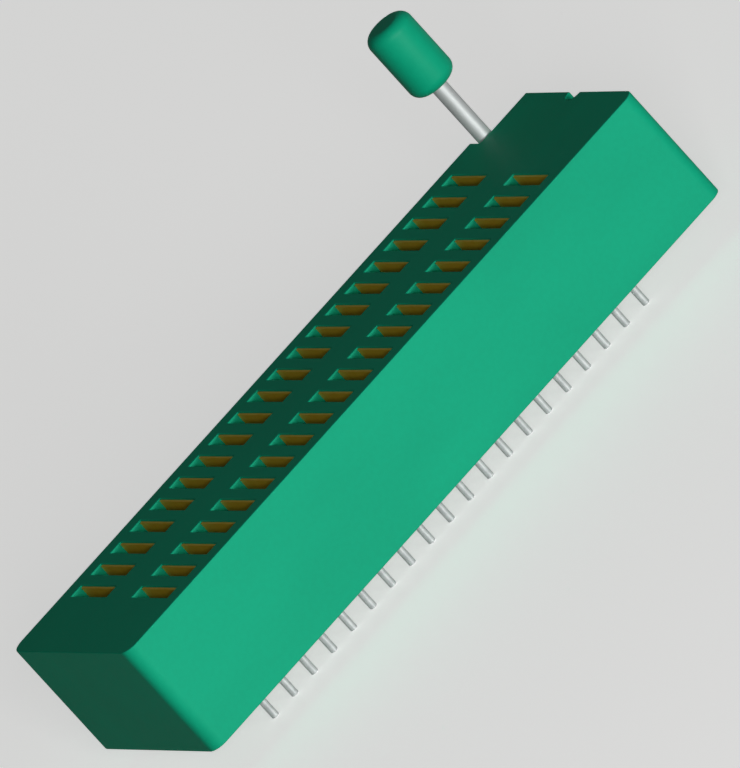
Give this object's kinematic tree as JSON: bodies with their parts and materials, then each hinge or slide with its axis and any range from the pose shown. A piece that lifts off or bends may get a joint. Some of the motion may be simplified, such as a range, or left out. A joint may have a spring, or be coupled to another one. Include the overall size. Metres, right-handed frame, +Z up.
{
  "type": "zif socket",
  "caption": "Zero insertion force socket for wide DIP chips: a long housing with two columns of spring contact slots, round solder pins and a corner cam lever with a knob.",
  "frame": {"origin": "centre of the pin field on the seating plane, where the rim of the housing meets the board", "axes": "+X along the pin rows towards the end with the lever, +Y across the rows towards the side with the lever, +Z up out of the board"},
  "size_m": [0.0657, 0.0242, 0.0276],
  "materials": {
    "green_moulding": "green moulded plastic, satin",
    "green_knob": "green moulded plastic, satin",
    "comb_moulding": "dark green moulded plastic",
    "tinned_pin": "tin plate on brass wire",
    "bright_steel": "bright steel rod",
    "zinc_steel": "zinc plated steel",
    "spring_brass": "spring brass strip"
  },
  "bodies": {
    "root": {"housing": "green_moulding", "base_plate": "green_moulding", "pin_row_front": "tinned_pin", "pin_row_rear": "tinned_pin", "base_screws": "zinc_steel", "contact_01": "spring_brass", "contact_02": "spring_brass", "contact_03": "spring_brass", "contact_04": "spring_brass", "contact_05": "spring_brass", "contact_06": "spring_brass", "contact_07": "spring_brass", "contact_08": "spring_brass", "contact_09": "spring_brass", "contact_10": "spring_brass", "contact_11": "spring_brass", "contact_12": "spring_brass", "contact_13": "spring_brass", "contact_14": "spring_brass", "contact_15": "spring_brass", "contact_16": "spring_brass", "contact_17": "spring_brass", "contact_18": "spring_brass", "contact_19": "spring_brass", "contact_20": "spring_brass", "contact_21": "spring_brass", "contact_22": "spring_brass", "contact_23": "spring_brass", "contact_24": "spring_brass", "contact_25": "spring_brass", "contact_26": "spring_brass", "contact_27": "spring_brass", "contact_28": "spring_brass", "contact_29": "spring_brass", "contact_30": "spring_brass", "contact_31": "spring_brass", "contact_32": "spring_brass", "contact_33": "spring_brass", "contact_34": "spring_brass", "contact_35": "spring_brass", "contact_36": "spring_brass", "contact_37": "spring_brass", "contact_38": "spring_brass", "contact_39": "spring_brass", "contact_40": "spring_brass"},
    "lever": {"lever_rod": "bright_steel", "lever_knob": "green_knob", "cam_front": "bright_steel", "cam_rear": "bright_steel", "retaining_clip": "zinc_steel", "thrust_washer": "zinc_steel"},
    "comb": {"slider": "comb_moulding"}
  },
  "joints": [
    {"name": "lever_hinge", "type": "hinge", "parent": "root", "child": "lever", "pos_m": [0.02955, 0, 0.007], "axis": [0, 1, 0], "range_deg": [0, 90]},
    {"name": "comb_slide", "type": "slide", "parent": "root", "child": "comb", "axis": [-1, 0, 0], "range_m": [0, 0.0008], "deforming": ["contact_01", "contact_02", "contact_03", "contact_04", "contact_05", "contact_06", "contact_07", "contact_08", "contact_09", "contact_10", "contact_11", "contact_12", "contact_13", "contact_14", "contact_15", "contact_16", "contact_17", "contact_18", "contact_19", "contact_20", "contact_21", "contact_22", "contact_23", "contact_24", "contact_25", "contact_26", "contact_27", "contact_28", "contact_29", "contact_30", "contact_31", "contact_32", "contact_33", "contact_34", "contact_35", "contact_36", "contact_37", "contact_38", "contact_39", "contact_40"]}
  ],
  "couplings": [
    {"joint": "lever_hinge", "follows": "comb_slide", "rad_per_m": 1963.4}
  ]
}
